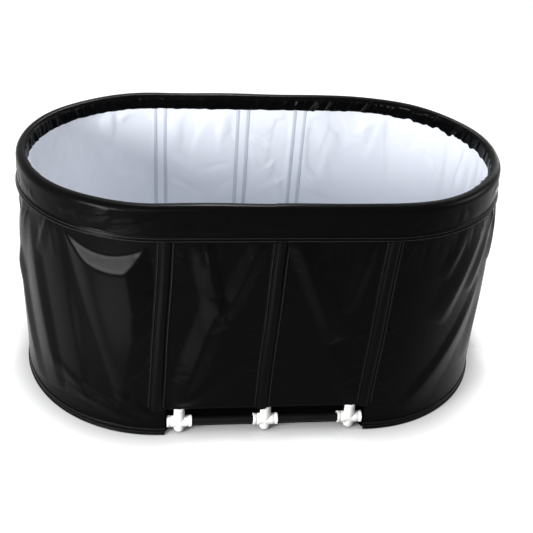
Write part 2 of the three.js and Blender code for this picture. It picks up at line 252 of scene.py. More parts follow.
black_fabric = coated_fabric("black_fabric", (0.0007, 0.0007, 0.0008), (0.0016, 0.0016, 0.0017), 0.20)

BAND_OUT, BAND_LOW, BAND_HEIGHT, BAND_RIPPLE = -0.0278, 0.0018, 0.110, 0.0006
RECESS_END, RECESS_HEIGHT, SLIT_HALF, LINING_OUT, PAD_OUT = 0.243, 0.075, 0.0103, -0.0006, -0.0015

stations = np.linspace(0, AROUND, 400, endpoint=False)
in_recess = np.abs(wall(stations, 0.0)[:, 0]) < RECESS_END
edge = wall(stations, 0.0, np.where(in_recess, BAND_OUT, PAD_OUT))
ground_points = edge[:, None, :] * np.linspace(0.0, 1.0, 12)[None, :, None]
ground_sheet = add_piece("ground_sheet", *grid(ground_points, ring=True, inward=True), black_fabric)
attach(ground_sheet, "tub")
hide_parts("base_sheet")

for side, facing in SIDES:
    xs = -facing * np.linspace(-STRAIGHT_HALF, STRAIGHT_HALF, 90)
    zs = np.linspace(BAND_LOW, BAND_HEIGHT, 20)
    ripple = BAND_RIPPLE * np.sin(60 * xs)[:, None] * np.sin(40 * zs)[None, :]
    band_points = wall(along_of(facing, xs)[:, None], zs[None, :], BAND_OUT + ripple)
    band = add_piece(f"recess_{side}", *grid(band_points), black_fabric)
    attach(band, "tub")
    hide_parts(f"base_band_{side}")

    slits = [place + edge for place in (-POLE_SPACING, 0, POLE_SPACING) for edge in (-SLIT_HALF, SLIT_HALF)]
    xs = -facing * np.array([-RECESS_END, -RECESS_END, *slits, RECESS_END, RECESS_END])
    zs = np.array([BAND_LOW, *[RECESS_HEIGHT] * (len(slits) + 2), BAND_LOW])
    depths = np.linspace(BAND_OUT, LINING_OUT, 5)
    lining_points = wall(along_of(facing, xs)[:, None], zs[:, None], depths[None, :])
    lining_mesh = grid(lining_points, inward=True, skip=(2, 4, 6))
    lining = add_piece(f"recess_lining_{side}", *lining_mesh, black_fabric, smooth=False)
    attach(lining, "tub")


# Liner: a bag of bluish-white coated fabric, welded at the floor and hung from the rim inside the foam.
# It hangs a little loose, so it wrinkles below the collar and beside the grey welds that run up it in pairs.
LINER_OUT, LINER_LOW, LINER_TOP, LINER_LEAN, FLOOR_LEVEL = -0.0305, 0.0136, 0.5674, 0.0095, 0.0133
WELD_PLACES, WELD_PAIR, WELD_HALF, WELD_RISE = (-0.250, -0.022, 0.137), 0.028, 0.005, 0.0012
WELD_TOP, WELD_SEAT, WELD_FLAT, WELD_EDGE = 0.5597, 0.0002, 0.026, 0.016
WRINKLES, WELD_WRINKLES, DEEPEST_IN, DEEPEST_OUT, LEAN_FROM = 150, 22, -0.009, 0.003, 0.36
FLOOR_RIPPLE, FLOOR_REST, WELT_RISE, WELT_PLACE, WELT_WIDTH = 0.0008, 0.0016, 0.0014, 0.030, 0.006


def liner_fabric(name, dark, light, roughness):
    finish = Finish(name, Specular_IOR_Level=0.35)
    cloud = finish.noise(7, 3)
    weave = finish.noise(1600, 2)
    finish.set(
        Base_Color=finish.blend(cloud, dark, light),
        Roughness=roughness + 0.1 * cloud,
        Normal=finish.bump(weave, 0.0001, 0.4),
    )
    return finish.material


white_liner = liner_fabric("white_liner", (0.71, 0.735, 0.795), (0.79, 0.815, 0.875), 0.38)
weld_grey = liner_fabric("weld_grey", (0.48, 0.51, 0.58), (0.54, 0.57, 0.64), 0.34)


def soft_step(low, high, value):
    share = np.clip((value - low) / (high - low), 0, 1)
    return share * share * (3 - 2 * share)


def fold(along, z, start, end, width, rise, hold=0.5, narrow=1.0):
    """A ridge from start to end, each (along, z), with a flat slope to either side, that dies out at its ends.
    Its width falls to the share narrow at its end."""
    (a0, z0), (a1, z1) = start, end
    da, dz = a1 - a0, z1 - z0
    length = math.hypot(da, dz)
    share = np.clip(((along - a0) * da + (z - z0) * dz) / length ** 2, 0, 1)
    off = ((along - a0) * dz - (z - z0) * da) / length
    side = np.where(off > 0, width[1], width[0]) * (1 + (narrow - 1) * share)
    left = 1 - np.sqrt((off / side) ** 2 + 0.012)
    return rise * np.sin(math.pi * share) ** hold * (left + np.sqrt(left * left + 0.02)) / 2 * (left > -0.6)


def near(along, place):
    """Distance along the wall from a place, the short way round."""
    return (along - place + AROUND / 2) % AROUND - AROUND / 2


def at_end(along):
    """Nought along the straight sides, rising to one at the middle of each end."""
    return np.cos(turn_of(along)) ** 2


weld_middles = [float(along_of(facing, facing * x)) for facing in (-1, 1) for x in WELD_PLACES]
stations = np.linspace(0, AROUND, 620, endpoint=False)
zs = np.linspace(LINER_LOW, LINER_TOP, 110)
along, z = stations[:, None], zs[None, :]
rng = np.random.default_rng(7)
slack = np.zeros((len(stations), len(zs)))
for _ in range(WRINKLES):
    place, top, drop = rng.uniform(0, AROUND), rng.uniform(0.53, 0.58), rng.uniform(0.06, 0.26)
    drift, width = rng.normal(0, 0.05), rng.uniform(0.010, 0.026)
    rise = rng.uniform(0.002, 0.006) * rng.choice((-1, 1))
    slack += fold(near(along, place), z, (0, top), (drift, top - drop), (width, 1.7 * width), rise)
for middle in weld_middles:
    for _ in range(WELD_WRINKLES):
        edge = rng.choice((-1, 1))
        height, reach, fall = rng.uniform(0.12, 0.56), rng.uniform(0.05, 0.13), rng.uniform(0.02, 0.09)
        width, rise = rng.uniform(0.008, 0.018), rng.uniform(0.0014, 0.0036) * rng.choice((-1, 1))
        ends = (edge * WELD_EDGE, height), (edge * reach, height - fall)
        slack += fold(near(along, middle), z, *ends, (width, 1.5 * width), rise)
flat_at_weld = np.prod([1 - np.exp(-(near(along, middle) / WELD_FLAT) ** 4) for middle in weld_middles], axis=0)
slack *= flat_at_weld * soft_step(LINER_LOW, LINER_LOW + 0.08, z) * soft_step(LINER_TOP, WELD_TOP - 0.02, z)
lean_out = LINER_LEAN * at_end(along) * soft_step(LEAN_FROM, LINER_TOP, z)
liner_points = wall(along, z, LINER_OUT + lean_out + np.clip(slack, DEEPEST_IN, DEEPEST_OUT))
liner_wall = add_piece("liner_bag", *grid(liner_points, ring=True, inward=True), white_liner)
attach(liner_wall, "tub")
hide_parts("liner_wall")

edge = wall(stations, FLOOR_LEVEL, LINER_OUT)
shares = np.concatenate([np.linspace(0.0, 0.9, 46), np.linspace(0.905, 1.0, 24)])
floor_points = edge[:, None, :] * shares[None, :, None]
x, y = floor_points[:, :, 0], floor_points[:, :, 1]
broad, close = np.sin(23 * x + 9 * y) * np.sin(17 * y - 6 * x + 1), np.sin(41 * x - 30 * y) * np.sin(29 * y + 12 * x)
welt = WELT_RISE * np.exp(-(((1 - shares) - WELT_PLACE) / WELT_WIDTH) ** 2)
slack = (FLOOR_RIPPLE * (broad + close) + FLOOR_REST) * soft_step(1.0, 0.93, shares)
floor_points[:, :, 2] = FLOOR_LEVEL + slack + welt
liner_floor = add_piece("liner_base", *grid(floor_points, ring=True), white_liner)
liner_floor.data.flip_normals()
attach(liner_floor, "tub")
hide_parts("liner_floor", "floor_pad")

across = np.linspace(-WELD_HALF, WELD_HALF, 9)
up = np.linspace(LINER_LOW + 0.003, WELD_TOP, 100)
swell = WELD_RISE * (1 - (across / WELD_HALF) ** 4)
for side, facing in SIDES:
    shapes = []
    for x in WELD_PLACES:
        for edge in (-WELD_PAIR / 2, WELD_PAIR / 2):
            places = along_of(facing, facing * x) + edge + across
            weld_points = wall(places[:, None], up[None, :], LINER_OUT - WELD_SEAT - swell[:, None])
            shapes.append(grid(weld_points, inward=True))
    welds = add_piece(f"{side}_welds", *gather(*shapes), weld_grey)
    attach(welds, "tub")
    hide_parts(*[f"{side}_weld_strip_{place}" for place in ("left", "middle", "right")])


# Cover: black coated fabric sewn up from two end panels and four side panels, pulled over foam pads.
# The end panels reach the ground and the side panels stop above the recess. It hangs in soft folds from the collar
# and is drawn towards the tees, and it puckers along its seams.
COLLAR_LOW, HEM_TOP, COVER_TOP, COVER_THICK, PANEL_STEP = 0.520, 0.0205, 0.545, 0.0012, 0.0040
PUCKERS_PER_METRE, PUCKERS_PER_SEAM, PANEL_IN, PANEL_OUT = 60, 26, -0.009, 0.021
DRAIN_ALONG, DRAIN_HEIGHT, DRAIN_FLAT, DRAIN_REACH = STRAIGHT_HALF + BEND / 2, 0.045, 0.04, 0.09
SWELL_MIDDLE, SWELL_HALF, LIP_HEIGHT, LIP_SAG, SWELL_RISE = -0.340, 0.112, 0.524, 0.044, 0.0185


def least(values, ease):
    """The least of several heights, with the edges between them eased."""
    return -ease * np.log(sum(np.exp(-value / ease) for value in values))


def left_swell(along, z):
    """The big swell on the left end: a face that looks up under a sagging lip, over a tall face that narrows."""
    across = along - SWELL_MIDDLE
    lip = LIP_HEIGHT + 0.20 * across - LIP_SAG * (1 - (across / SWELL_HALF) ** 2)
    tall = SWELL_RISE + 0.075 * (along + 0.36) + 0.035 * (z - 0.45)
    left_edge = -0.408 + 0.25 * (0.44 - z)
    right_edge = -0.308 - 0.7 * (z - 0.32) ** 2
    faces = [0.55 * (lip - z), tall, tall + 0.26 * (along - left_edge), tall - 0.48 * (along - right_edge)]
    return -least([0.0 * z, -least(faces, 0.0013)], 0.0008) - 0.0005


def puckers(seed, start, end, low):
    """Small folds below the collar and beside the panel's ends."""
    rng = np.random.default_rng(seed)
    folds = []
    for _ in range(round((end - start) * PUCKERS_PER_METRE)):
        a, z = rng.uniform(start, end), rng.uniform(0.505, 0.53)
        length, drift, width = rng.uniform(0.03, 0.09), rng.normal(0, 0.02), rng.uniform(0.005, 0.009)
        rise = rng.uniform(0.0006, 0.0018) * rng.choice((-1, 1))
        folds.append(((a, z), (a + drift, z - length), (width, 1.4 * width), rise))
    for edge, way in ((start, 1), (end, -1)):
        for _ in range(PUCKERS_PER_SEAM):
            z, reach, fall = rng.uniform(low + 0.04, 0.5), rng.uniform(0.03, 0.07), rng.normal(0, 0.015)
            width, rise = rng.uniform(0.004, 0.008), rng.uniform(0.0004, 0.0012) * rng.choice((-1, 1))
            folds.append(((edge + way * 0.012, z), (edge + way * reach, z + fall), (width, width), rise))
    return folds


def slack_folds(seed, start, end, count, low):
    """Long soft folds, for the sides that have none of their own."""
    rng = np.random.default_rng(seed)
    folds = []
    for _ in range(count):
        a, top = rng.uniform(start + 0.03, end - 0.03), rng.uniform(0.42, 0.53)
        bottom, drift, width = rng.uniform(low, 0.3), rng.normal(0, 0.07), rng.uniform(0.014, 0.032)
        folds.append(((a, top), (a + drift, bottom), (width, 1.7 * width), rng.uniform(0.003, 0.007)))
    return folds


def panel(name, start, end, low, folds, nodes, swell=None):
    stations = np.linspace(start, end, round((end - start) / PANEL_STEP) + 1)
    zs = np.linspace(low, COVER_TOP, round((COVER_TOP - low) / PANEL_STEP) + 1)
    along, z = stations[:, None], zs[None, :]
    out = sum(fold(along, z, *shape) for shape in folds)
    if swell:
        out = np.maximum(swell(along, z), 0) + out
    sewn = soft_step(0.008, 0.03, np.minimum(along - start, end - along)) * soft_step(low, low + 0.03, z)
    at_drain = np.hypot(along - DRAIN_ALONG, z - DRAIN_HEIGHT)
    out = out * sewn * soft_step(COVER_TOP - 0.008, COLLAR_LOW - 0.02, z)
    out = out * soft_step(DRAIN_FLAT, DRAIN_REACH, at_drain)
    piece = add_piece(name, *grid(wall(along, z, np.clip(out, PANEL_IN, PANEL_OUT))), black_fabric)
    layer = piece.modifiers.new("thickness", "SOLIDIFY")
    layer.thickness, layer.offset = COVER_THICK, -1
    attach(piece, "tub")
    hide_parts(*nodes)
    end - start
    COVER_TOP - low


# Each fold: its start and end as (along, z), its width to either side, its rise, and if need be its hold and narrowing
left_start, left_end = RECESS_END - 2 * STRAIGHT_HALF - BEND, -RECESS_END
left_folds = [
    ((-0.490, 0.52), (-0.420, 0.07), (0.024, 0.085), 0.0045, 0.4, 0.6),
    ((-0.600, 0.50), (-0.500, 0.06), (0.035, 0.090), 0.009, 0.5, 0.7),
    ((-0.720, 0.44), (-0.580, 0.04), (0.035, 0.090), 0.009),
    ((-0.262, 0.066), (-0.480, 0.088), (0.050, 0.018), 0.0050, 0.4),
    ((-0.300, 0.040), (-0.520, 0.150), (0.030, 0.016), 0.0045),
    ((-0.350, 0.12), (-0.262, 0.055), (0.014, 0.026), 0.005),
    ((-0.262, 0.40), (-0.300, 0.335), (0.010, 0.016), 0.003),
    ((-0.264, 0.32), (-0.305, 0.255), (0.010, 0.018), 0.003),
    ((-0.264, 0.22), (-0.310, 0.165), (0.010, 0.016), 0.003),
    ((-0.630, 0.53), (-0.690, 0.28), (0.040, 0.022), 0.007),
    ((-0.520, 0.53), (-0.560, 0.42), (0.022, 0.014), 0.004),
    *slack_folds(3, left_start, -0.72, 8, 0.04),
    *[small for small in puckers(13, left_start, left_end, HEM_TOP) if not -0.46 < small[0][0] < -0.27],
]
right_start, right_end = RECESS_END, 2 * STRAIGHT_HALF + BEND - RECESS_END
right_folds = [
    ((0.540, 0.53), (0.400, 0.28), (0.030, 0.055), 0.010),
    ((0.600, 0.53), (0.500, 0.33), (0.022, 0.045), 0.010),
    ((0.470, 0.53), (0.400, 0.40), (0.016, 0.030), 0.005),
    ((0.330, 0.05), (0.570, 0.34), (0.026, 0.050), 0.007),
    ((0.650, 0.50), (0.560, 0.10), (0.026, 0.050), 0.008),
    ((0.680, 0.53), (0.620, 0.36), (0.020, 0.036), 0.008),
    *slack_folds(5, 0.70, right_end, 9, 0.04),
    *puckers(15, right_start, right_end, HEM_TOP),
]
panel("end_panel_left", left_start, left_end, HEM_TOP, left_folds,
      ["cover_end_left", "end_pad_left", "base_band_left"], left_swell)
panel("end_panel_right", right_start, right_end, HEM_TOP, right_folds,
      ["cover_end_right", "end_pad_right", "base_band_right"])

front_folds = {
    "left": [
        ((-0.160, 0.56), (-0.108, 0.30), (0.014, 0.042), 0.013, 0.4),
        ((-0.020, 0.55), (-0.108, 0.33), (0.030, 0.030), 0.0160, 0.5),
        ((-0.215, 0.06), (-0.118, 0.38), (0.040, 0.036), 0.017, 0.5),
        ((-0.225, 0.06), (-0.050, 0.22), (0.020, 0.034), 0.004),
    ],
    "right": [
        ((0.030, 0.56), (0.150, 0.26), (0.040, 0.027), 0.018, 0.5),
        ((0.215, 0.07), (0.120, 0.30), (0.034, 0.020), 0.006),
        ((0.220, 0.55), (0.170, 0.34), (0.024, 0.024), 0.010),
    ],
}
for side, facing in SIDES:
    for place, way in (("left", -1), ("right", 1)):
        ends = sorted(float(along_of(facing, x)) for x in (0, way * RECESS_END))
        long_folds = front_folds[place] if side == "front" else slack_folds(11 + way, *ends, 5, 0.09)
        folds = [*long_folds, *puckers(21 + way + 2 * facing, *ends, RECESS_HEIGHT)]
        panel(f"{side}_panel_{place}", *ends, RECESS_HEIGHT, folds,
              [f"cover_{side}_{place}", f"{side}_pad_{place}"])


# Ribs: sewn strips of the cover's fabric over a soft cord, one on each seam between the panels.
# A row of stitches runs down each edge. The front ones lean, because the soft wall has settled to one side.
RIB_HALF, RIB_EDGE, RIB_BULGE, RIB_GROOVE, RIB_LEAN = 0.020, 0.0014, 0.0085, 0.0125, 0.013
RIB_TOP, RIB_SEAT, RIB_WANDER = COLLAR_LOW + 0.004, 0.0005, 0.0006
black_trim = coated_fabric("black_trim", (0.0012, 0.0012, 0.0013), (0.0025, 0.0025, 0.0027), 0.24)
black_thread = moulded_plastic("black_thread", (0.010, 0.010, 0.011), (0.016, 0.016, 0.017), 0.5)


class Pattern:
    """A Geometry Nodes tree under construction, with named inputs, that ends as one plain mesh."""

    def __init__(self, name, **inputs):
        self.tree = bpy.data.node_groups.new(name, "GeometryNodeTree")
        for title, kind in {"Geometry": "Geometry", **inputs, "Material": "Material"}.items():
            self.tree.interface.new_socket(title, in_out="INPUT", socket_type=f"NodeSocket{kind}")
        self.tree.interface.new_socket("Geometry", in_out="OUTPUT", socket_type="NodeSocketGeometry")
        self.given = self.tree.nodes.new("NodeGroupInput").outputs

    def node(self, kind, settings=(), **inputs):
        made = self.tree.nodes.new(kind)
        for name, value in dict(settings).items():
            setattr(made, name, value)
        for name, value in inputs.items():
            socket = made.inputs[name.replace("_", " ")]
            for one in value if isinstance(value, list) else [value]:
                if isinstance(one, bpy.types.NodeSocket):
                    self.tree.links.new(one, socket)
                else:
                    socket.default_value = one
        return made.outputs[0]

    def end(self, shape):
        solid = self.node("GeometryNodeRealizeInstances", Geometry=shape)
        dressed = self.node("GeometryNodeSetMaterial", Geometry=solid, Material=self.given["Material"])
        self.tree.links.new(dressed, self.tree.nodes.new("NodeGroupOutput").inputs["Geometry"])

    def shape(self, piece, **values):
        step = piece.modifiers.new("pattern", "NODES")
        step.node_group = self.tree
        for item in self.tree.interface.items_tree:
            if item.in_out == "INPUT" and item.name in values:
                step[item.identifier] = values[item.name]
        shown = piece.evaluated_get(bpy.context.evaluated_depsgraph_get())
        piece.data = bpy.data.meshes.new_from_object(shown)
        piece.modifiers.clear()


# A stitch at even steps along every line of the mesh
stitching = Pattern("stitching", Step="Float", Length="Float", Thread="Float")
given, node = stitching.given, stitching.node
lines = node("GeometryNodeMeshToCurve", Mesh=given["Geometry"])
steps = node("GeometryNodeResampleCurve", {"mode": "LENGTH"}, Curve=lines, Length=given["Step"])
stitch = node("GeometryNodeMeshUVSphere", Segments=6, Rings=4, Radius=0.5)
size = node("ShaderNodeCombineXYZ", X=given["Length"], Y=given["Thread"], Z=given["Thread"])
turn = node("FunctionNodeAlignRotationToVector", {"axis": "X"}, Vector=node("GeometryNodeInputTangent"))
stitching.end(node("GeometryNodeInstanceOnPoints", Points=steps, Instance=stitch, Rotation=turn, Scale=size))


def sew(name, lines):
    """Rows of stitches along lines of points, as one piece of the tub."""
    points = [tuple(point) for line in lines for point in line]
    starts = np.cumsum([0, *[len(line) for line in lines]])
    edges = [(i, i + 1) for a, b in zip(starts, starts[1:]) for i in range(a, b - 1)]
    mesh = bpy.data.meshes.new(name)
    mesh.from_pydata(points, edges, [])
    piece = bpy.data.objects.new(name, mesh)
    bpy.context.scene.collection.objects.link(piece)
    stitching.shape(piece, Step=0.0062, Length=0.0046, Thread=0.0009, Material=black_thread)
    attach(piece, "tub")


across = np.concatenate([np.linspace(-RIB_HALF, -RIB_GROOVE, 7), np.linspace(-RIB_GROOVE, RIB_GROOVE, 25)[1:-1],
                         np.linspace(RIB_GROOVE, RIB_HALF, 7)])
up = np.linspace(RECESS_HEIGHT, RIB_TOP, 90)
cord = RIB_BULGE * np.sqrt(np.clip(1 - (across / RIB_GROOVE) ** 2, 0, 1)) ** 1.3
from_middle = np.abs(across)
flange = RIB_EDGE * soft_step(0, 0.002, from_middle - RIB_GROOVE) * soft_step(RIB_HALF, RIB_HALF - 0.0012, from_middle)
section = RIB_SEAT + np.maximum(cord, flange)
rib_seams = []
for side, facing in SIDES:
    lean = RIB_LEAN * (2 * (up - RECESS_HEIGHT) / (RIB_TOP - RECESS_HEIGHT) - 1) if side == "front" else 0 * up
    for place, x in (("left", -STRAIGHT_HALF), ("middle", 0), ("right", STRAIGHT_HALF)):
        middle = float(along_of(facing, x)) + lean
        wander = RIB_WANDER * np.sin(23 * up + 7 * x)
        rib_points = wall(across[:, None] + middle + wander, up[None, :], section[:, None] * np.ones_like(up))
        rib = add_piece(f"{side}_ribbing_{place}", *grid(rib_points), black_trim)
        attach(rib, "tub")
        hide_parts(f"{side}_rib_{place}")
        for edge in (-1, 1):
            seam = middle + wander + edge * (RIB_GROOVE + RIB_HALF) / 2
            rib_seams.append(wall(seam, up, RIB_SEAT + RIB_EDGE)[2:-2])
sew("rib_stitches", rib_seams)


# Base hems: a folded band of the trim fabric round the foot of each end, with piping along the ground.
# Two rows of stitches hold it over the bottom edge of the end panel.
HEM_LIFT, HEM_OUT, HEM_BEAD = 0.0005, 0.0012, 0.0024
bead = [(HEM_OUT + HEM_BEAD * math.cos(t), HEM_LIFT + HEM_BEAD * (1 + math.sin(t)))
        for t in np.radians(np.linspace(-130, 80, 10))]
foot = [(-0.001, 0.001), *bead, (HEM_OUT, 0.0065), (HEM_OUT + 0.0004, 0.0120), (HEM_OUT + 0.0002, 0.0180),
        (HEM_OUT - 0.0004, HEM_TOP + 0.0004), (-0.0004, HEM_TOP + 0.0008)]
outs, zs = np.array(foot).T
hem_seams = []
for place, ends in (("left", (left_start, left_end)), ("right", (right_start, right_end))):
    stations = np.linspace(*ends, 260)
    hem = add_piece(f"foot_hem_{place}", *grid(wall(stations[:, None], zs[None, :], outs[None, :])), black_trim)
    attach(hem, "tub")
    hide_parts(f"base_hem_{place}")
    hem_seams += [wall(stations, height, HEM_OUT + 0.0003) for height in (0.0085, 0.0175)]
sew("hem_stitches", hem_seams)


# Rim collar: a band of the cover's fabric turned over a foam roll and sewn to the cover with a folded hem.
# Two rows of stitches hold the hem. The shorter skirt inside is gathered, so it puckers.
ROLL_OUT, ROLL_HEIGHT, ROLL_RADIUS, ROLL_FLAT, ROLL_PINCH = -0.01525, 0.58295, 0.01705, 0.78, 0.28
ROLL_WANDER, ROLL_SETTLE, SKIRT_PUCKERS, APRON_PUCKERS, SCALLOP = 0.0007, 0.0012, 250, 90, 0.0019
SKIRT_OUT, SKIRT_LOW, GATHER_TOP, GATHER_LOW = ROLL_OUT - ROLL_RADIUS, 0.560, 0.598, 0.548
GATHER_PLACE, GATHER_REACH, RAGGED_PLACE, RAGGED_REACH = 1.20, 0.40, 0.95, 0.16
COLLAR_OUT, COLLAR_HEM_OUT, COLLAR_HEM_TOP = 0.0018, 0.0034, 0.533
skirt = [(SKIRT_OUT + 0.001, SKIRT_LOW + 0.006),
         *[(SKIRT_OUT, h) for h in np.linspace(SKIRT_LOW, ROLL_HEIGHT - 0.002, 8)]]
over = [(ROLL_OUT + ROLL_RADIUS * math.copysign(abs(math.cos(t)) ** ROLL_FLAT, math.cos(t)),
         ROLL_HEIGHT + ROLL_RADIUS * math.sin(t) ** ROLL_FLAT) for t in np.radians(np.linspace(179.9, 0.1, 25))]
apron = [(COLLAR_OUT, h) for h in np.linspace(ROLL_HEIGHT - 0.004, COLLAR_HEM_TOP + 0.001, 13)]
lap = [(COLLAR_HEM_OUT - 0.0006, COLLAR_HEM_TOP), (COLLAR_HEM_OUT + 0.0003, COLLAR_HEM_TOP - 0.0010),
       (COLLAR_HEM_OUT + 0.0004, COLLAR_HEM_TOP - 0.0035), (COLLAR_HEM_OUT + 0.0016, COLLAR_HEM_TOP - 0.0065),
       (COLLAR_HEM_OUT + 0.0022, COLLAR_LOW + 0.0035), (COLLAR_HEM_OUT + 0.0028, COLLAR_LOW + 0.0012),
       (COLLAR_HEM_OUT + 0.0020, COLLAR_LOW), (0.0004, COLLAR_LOW + 0.0004), (0.0004, COLLAR_LOW + 0.008)]
outs, zs = np.array([*skirt, *over, *apron, *lap]).T
leading = np.gradient(np.stack([outs, zs]), axis=1)
leading /= np.linalg.norm(leading, axis=0)
stations = np.linspace(0, AROUND, 1150, endpoint=False)
along, height = stations[:, None], zs[None, :]
inside = (np.arange(len(outs)) < len(skirt) + len(over) // 2)[None, :]
rng = np.random.default_rng(31)
pucker = np.zeros((len(stations), len(outs)))
for _ in range(SKIRT_PUCKERS):
    place, width = rng.uniform(0, AROUND), rng.uniform(0.0045, 0.0085)
    drift = rng.normal(0.024 if place < AROUND / 2 else -0.020, 0.014)
    bend = 0.55 + 0.7 * np.exp(-(near(place, GATHER_PLACE) / GATHER_REACH) ** 2)
    ends = (-0.3 * drift, GATHER_TOP), (0.7 * drift, GATHER_LOW)
    rise = bend * rng.uniform(0.0014, 0.0044)
    pucker += fold(near(along, place), height, *ends, (1.2 * width, width), rise, 0.3)
pucker *= inside * soft_step(GATHER_TOP, 0.586, height)
slack = np.zeros_like(pucker)
for _ in range(APRON_PUCKERS):
    place, top, drift = rng.uniform(0, AROUND), rng.uniform(0.55, 0.585), rng.normal(0, 0.05)
    width, rise = rng.uniform(0.008, 0.015), rng.uniform(0.0004, 0.0015) * rng.choice((-1, 1))
    slack += fold(near(along, place), height, (0, top), (drift, top - 0.035), (width, width), rise)
# Each apron fold: where it starts, as (along, z), how far it drifts and its rise
apron_folds = [(-0.255, 0.574, -0.11, 0.0036), (-0.285, 0.558, -0.09, 0.0030), (-0.350, 0.578, -0.09, 0.0032),
               (-0.420, 0.578, -0.06, 0.0022), (-0.120, 0.552, -0.05, 0.0024), (-0.070, 0.556, -0.05, 0.0022),
               (-0.180, 0.556, -0.05, 0.0024)]
for place, top, drift, rise in apron_folds:
    slack += fold(near(along, place), height, (0, top), (drift, top - 0.022), (0.010, 0.015), rise)
slack *= (1 - inside) * soft_step(COLLAR_HEM_TOP - 0.001, COLLAR_HEM_TOP + 0.01, height)
wander = ROLL_WANDER * (np.sin(along * 9.1) + np.sin(along * 23.7 + 1.0)) - ROLL_SETTLE
shift = np.maximum(pucker, -0.0002) + np.maximum(slack, -0.0008) + wander * soft_step(0.585, 0.6, height)
ragged = 0.25 + np.exp(-(near(along, RAGGED_PLACE) / RAGGED_REACH) ** 2)
scallop = ragged * SCALLOP * (np.sin(along * 117) + np.sin(along * 203 + 1.3) + np.sin(along * 71))
scallop = scallop * soft_step(0.572, SKIRT_LOW, height) * inside
reach = (outs - COLLAR_OUT)[None, :]
pinched = COLLAR_OUT + np.minimum(reach, 0) * (1 - ROLL_PINCH * at_end(along)) + np.maximum(reach, 0)
collar_points = wall(along, height + leading[0] * shift + scallop, pinched - leading[1] * shift)
rim_collar = add_piece("collar", *grid(collar_points[:, ::-1], ring=True), black_fabric)
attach(rim_collar, "tub")
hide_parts("rim_collar", "rim_roll_left", "rim_roll_right")
closed = np.append(stations, AROUND)
rows = ((COLLAR_HEM_TOP - 0.0035, 0.0007), (COLLAR_LOW + 0.0035, 0.0025))
sew("collar_stitches", [wall(closed, h, COLLAR_HEM_OUT + out) for h, out in rows])


# Drain: a moulded flange and threaded stub low on the right end, drawn tight by a locknut inside the liner.
# Rubber gaskets seal it on both sides of the wall, and a ribbed cap with a washer screws onto the stub.
black_plastic = moulded_plastic("black_plastic", (0.008, 0.008, 0.009), (0.015, 0.015, 0.017), 0.36, 0.2)
rubber = moulded_plastic("rubber", (0.008, 0.008, 0.008), (0.014, 0.014, 0.014), 0.6, 0.25)
for name, material in (("drain_locknut", white_plastic), ("drain_outer_gasket", rubber),
                       ("drain_inner_gasket", rubber), ("drain_cap_washer", rubber)):
    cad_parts[name].data.materials.clear()
    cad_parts[name].data.materials.append(material)

BORE, TUBE, FLANGE, STUB, TUBE_IN = 0.008, 0.012, 0.022, 0.014, -0.0414
FLANGE_IN, FLANGE_OUT, STUB_OUT, THREAD_PITCH, THREAD_DEPTH = 0.0026, 0.0066, 0.0186, 0.003, 0.0008
outward = Matrix.Rotation(-math.atan(END_FLARE / HEIGHT), 4, "Y") @ Matrix.Rotation(math.pi / 2, 4, "Y")
drain_place = Matrix.Translation(Vector(wall(DRAIN_ALONG, DRAIN_HEIGHT))) @ outward
thread = [(h, STUB - THREAD_DEPTH * abs(2 * ((h - FLANGE_OUT) / THREAD_PITCH % 1) - 1))
          for h in np.linspace(FLANGE_OUT + 0.0004, STUB_OUT - 0.0010, 29)]
body_profile = [(TUBE_IN, BORE), (TUBE_IN, TUBE - 0.001), (TUBE_IN + 0.001, TUBE), (FLANGE_IN, TUBE),
                (FLANGE_IN, FLANGE - 0.0006), (FLANGE_IN + 0.0006, FLANGE), (FLANGE_OUT - 0.0018, FLANGE),
                (FLANGE_OUT - 0.0005, FLANGE - 0.0007), (FLANGE_OUT, FLANGE - 0.0022),
                (FLANGE_OUT - 0.0005, FLANGE - 0.0032), (FLANGE_OUT - 0.0005, STUB + 0.0012), *thread,
                (STUB_OUT - 0.0006, STUB - 0.0010), (STUB_OUT, STUB - 0.0018), (STUB_OUT, BORE), (TUBE_IN, BORE)]
fitting = add_piece("drain_fitting", *turned(body_profile, drain_place, 64), black_plastic)
fitting.data.set_sharp_from_angle(angle=math.radians(35))
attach(fitting, "tub")
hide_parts("drain_body")

# Grips round the cap's rim
grips = Pattern("grips", Count="Int", Ring="Float", Width="Float", Length="Float", Middle="Float")
given, node = grips.given, grips.node
ring = node("GeometryNodeMeshCircle", Vertices=given["Count"], Radius=given["Ring"])
grip = node("GeometryNodeMeshUVSphere", Segments=8, Rings=8, Radius=1.0)
size = node("ShaderNodeCombineXYZ", X=given["Width"], Y=given["Width"], Z=given["Length"])
row = node("GeometryNodeInstanceOnPoints", Points=ring, Instance=grip, Scale=size)
lift = node("ShaderNodeCombineXYZ", Z=given["Middle"])
row = node("GeometryNodeTransform", Geometry=row, Translation=lift)
grips.end(node("GeometryNodeJoinGeometry", Geometry=[given["Geometry"], row]))

